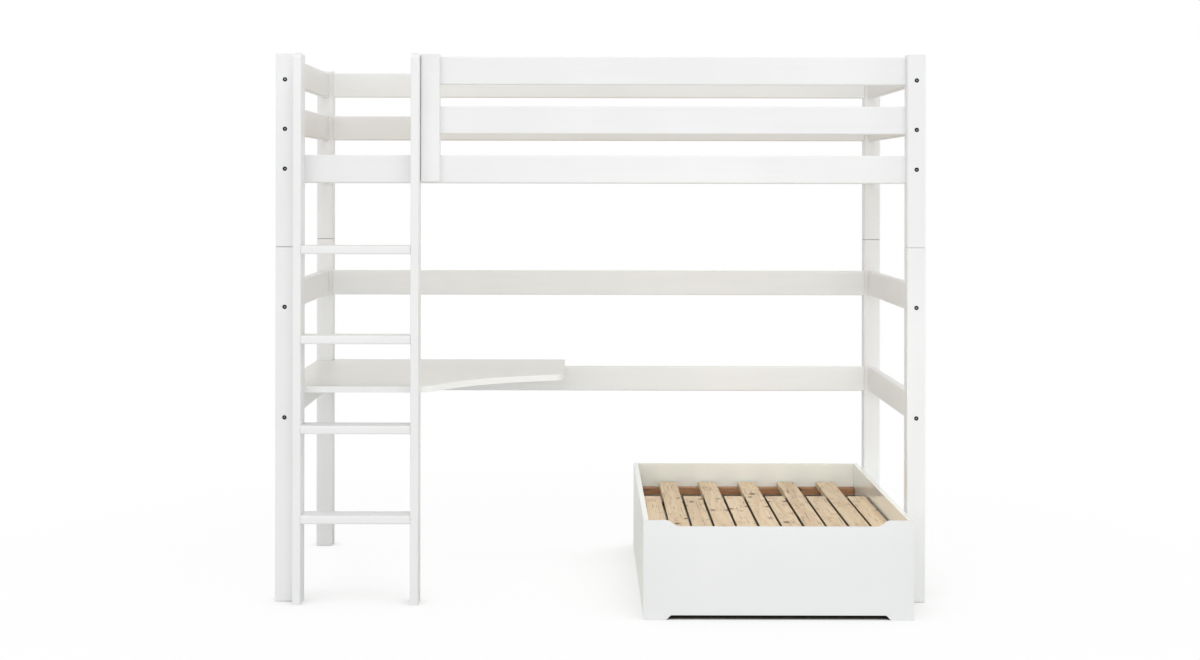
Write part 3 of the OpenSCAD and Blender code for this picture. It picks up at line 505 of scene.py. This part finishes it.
def floor_material():
    """Pale floor that reads as the white background and keeps the object's shadow, with painted
    shade where it is covered.
    """
    g = Graph("floor")
    grain = g.noise(g.place, scale=40.0)
    clear = g.openness(SHADOW_REACH, SHADOW_SAMPLES)
    pale = g.blend(grain, *FLOOR_PALE)
    # Painted shade: where the floor is covered, its colour turns near black
    g.finish(g.blend(g.fit(clear, *COVERED), FLOOR_PAINTED_SHADE, pale), FLOOR_ROUGHNESS,
             Specular_IOR_Level=0.0)
    glow = g.tree.nodes.new("ShaderNodeEmission")
    glow.inputs["Color"].default_value = PURE_WHITE
    path = g.tree.nodes.new("ShaderNodeLightPath")
    mix = g.tree.nodes.new("ShaderNodeMixShader")
    parts = g.split(g.place)
    away = g.hypot(parts[0], parts[1])
    white = g.fit(away, *FLOOR_WHITENS, NEAR_WHITE, 1.0, smooth=True)
    seen = g.fit(clear, *SHADED)
    g.put(mix.inputs[0], g.mul(path.outputs["Is Camera Ray"], g.mul(white, seen)))
    g.tree.links.new(g.shader.outputs[0], mix.inputs[1])
    g.tree.links.new(glow.outputs[0], mix.inputs[2])
    g.tree.links.new(mix.outputs[0], g.output.inputs[0])
    return g.material


def make_floor():
    mesh = bpy.data.meshes.new("floor")
    r = FLOOR_HALF
    mesh.from_pydata([(-r, -r, 0), (r, -r, 0), (r, r, 0), (-r, r, 0)], [], [(0, 1, 2, 3)])
    floor = bpy.data.objects.new("floor", mesh)
    bpy.context.scene.collection.objects.link(floor)
    mesh.materials.append(floor_material())


def make_world():
    """White to the camera and in reflections, plain soft light to everything else."""
    world = bpy.data.worlds.new("studio")
    bpy.context.scene.world = world
    world.use_nodes = True
    tree = world.node_tree
    tree.nodes.clear()
    out = tree.nodes.new("ShaderNodeOutputWorld")
    soft = tree.nodes.new("ShaderNodeBackground")
    soft.inputs["Color"].default_value = WORLD_TINT
    soft.inputs["Strength"].default_value = WORLD_STRENGTH
    white = tree.nodes.new("ShaderNodeBackground")
    white.inputs["Color"].default_value = PURE_WHITE
    white.inputs["Strength"].default_value = 1.0
    path = tree.nodes.new("ShaderNodeLightPath")
    either = tree.nodes.new("ShaderNodeMath")
    either.operation = "MAXIMUM"
    tree.links.new(path.outputs["Is Camera Ray"], either.inputs[0])
    tree.links.new(path.outputs["Is Glossy Ray"], either.inputs[1])
    mix = tree.nodes.new("ShaderNodeMixShader")
    tree.links.new(either.outputs[0], mix.inputs[0])
    tree.links.new(soft.outputs[0], mix.inputs[1])
    tree.links.new(white.outputs[0], mix.inputs[2])
    tree.links.new(mix.outputs[0], out.inputs[0])


def soft_box(name, place, target, size, watts, tint, spread):
    data = bpy.data.lights.new(name, "AREA")
    data.shape = "RECTANGLE"
    data.size, data.size_y = size
    data.energy = watts
    data.color = tint
    data.spread = math.radians(spread)
    lamp = bpy.data.objects.new(name, data)
    bpy.context.scene.collection.objects.link(lamp)
    lamp.location = place
    lamp.rotation_euler = (Vector(target) - Vector(place)).to_track_quat("-Z", "Y").to_euler()


def make_camera():
    data = bpy.data.cameras.new("camera")
    data.sensor_width = SENSOR
    data.lens = LENS
    data.shift_x, data.shift_y = SHIFT
    data.clip_end = CLIP_END
    camera = bpy.data.objects.new("camera", data)
    bpy.context.scene.collection.objects.link(camera)
    level = Euler((math.radians(90), 0, 0)).to_matrix()
    turned = level @ Matrix.Rotation(CAMERA_ROLL, 3, "Z")
    camera.matrix_world = Matrix.Translation(CAMERA_PLACE) @ turned.to_4x4()
    bpy.context.scene.camera = camera


make_floor()
make_world()
for lamp_row in LAMPS:
    soft_box(*lamp_row)
make_camera()
bpy.context.scene.view_settings.view_transform = "Standard"
